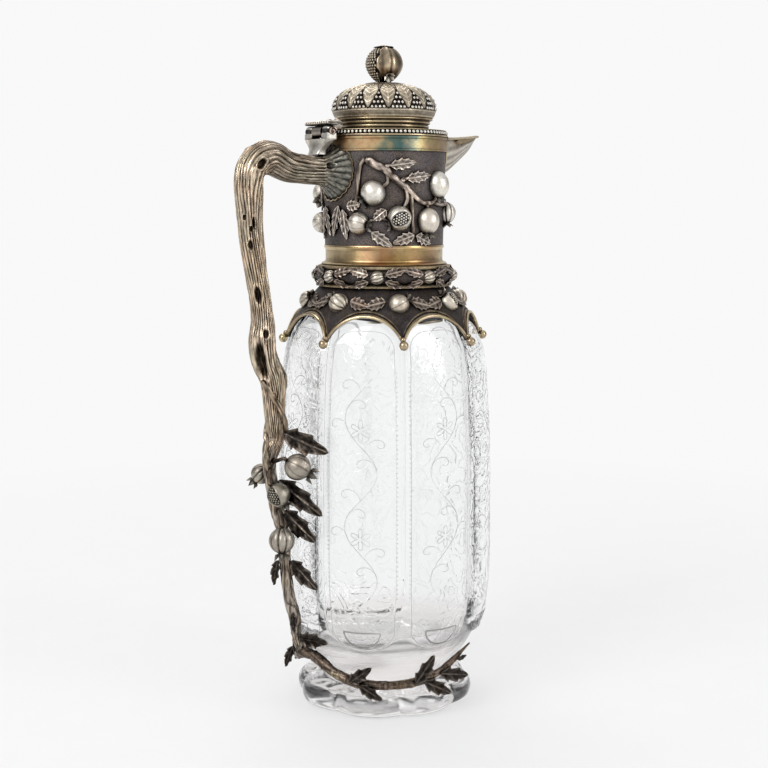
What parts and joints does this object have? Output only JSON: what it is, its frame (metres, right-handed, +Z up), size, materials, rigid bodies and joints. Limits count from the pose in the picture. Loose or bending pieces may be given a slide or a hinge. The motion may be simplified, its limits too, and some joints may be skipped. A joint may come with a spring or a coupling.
{
  "type": "claret jug",
  "caption": "Lobed cut-glass claret jug with silver-gilt mounts, a hinged domed lid, a pouring lip and a branch handle with pomegranate sprays.",
  "frame": {"origin": "centre of the foot's underside, on the jug's axis", "axes": "+Z up along the jug's axis, +X towards the pouring lip, handle at -X"},
  "size_m": [0.1236, 0.0958, 0.2899],
  "materials": {
    "cut_glass": "polished and engraved",
    "plaster": "dry bedding plaster",
    "silver_gilt": "worn gilt over silver",
    "oxidised_silver": "matted and oxidised",
    "bright_silver": "rubbed bright",
    "bark_silver": "chased as bark, tarnished",
    "vine_silver": "chased and heavily oxidised"
  },
  "bodies": {
    "jug": {"glass_body": "cut_glass", "neck_cement": "plaster", "neck_liner": "silver_gilt", "shoulder_collar": "oxidised_silver", "collar_edge_wire": "silver_gilt", "collar_ball_tips": "silver_gilt", "collar_fruits": "bright_silver", "collar_leaves": "oxidised_silver", "knop_band": "oxidised_silver", "knop_fruits": "bright_silver", "knop_leaves": "oxidised_silver", "gilt_band": "silver_gilt", "neck_sleeve": "oxidised_silver", "neck_twigs": "bark_silver", "neck_fruits": "bright_silver", "neck_leaves": "oxidised_silver", "rim_band": "silver_gilt", "spout": "bright_silver", "spout_drop": "bright_silver", "hinge_bracket": "bright_silver", "hinge_pin": "bright_silver", "handle_root": "bark_silver", "handle_branch": "bark_silver", "handle_twig": "bark_silver", "handle_stem": "vine_silver", "handle_fruits": "bright_silver", "fruit_stalks": "vine_silver", "handle_leaves": "vine_silver", "foot_vine": "vine_silver", "foot_leaves": "vine_silver"},
    "lid": {"lid_lug": "oxidised_silver", "thumb_plate": "silver_gilt", "lid_flange": "silver_gilt", "lid_beads": "bright_silver", "lid_bezel": "silver_gilt", "lid_steps": "silver_gilt", "lid_dome": "oxidised_silver", "finial_fruit": "bright_silver", "finial_seeds": "bright_silver", "finial_crown": "bright_silver", "finial_stud": "bright_silver", "finial_nut": "bright_silver"}
  },
  "joints": [
    {"name": "lid_hinge", "type": "hinge", "parent": "jug", "child": "lid", "pos_m": [-0.032, 0, 0.252], "axis": [0, -1, 0], "range_deg": [0, 95]}
  ]
}
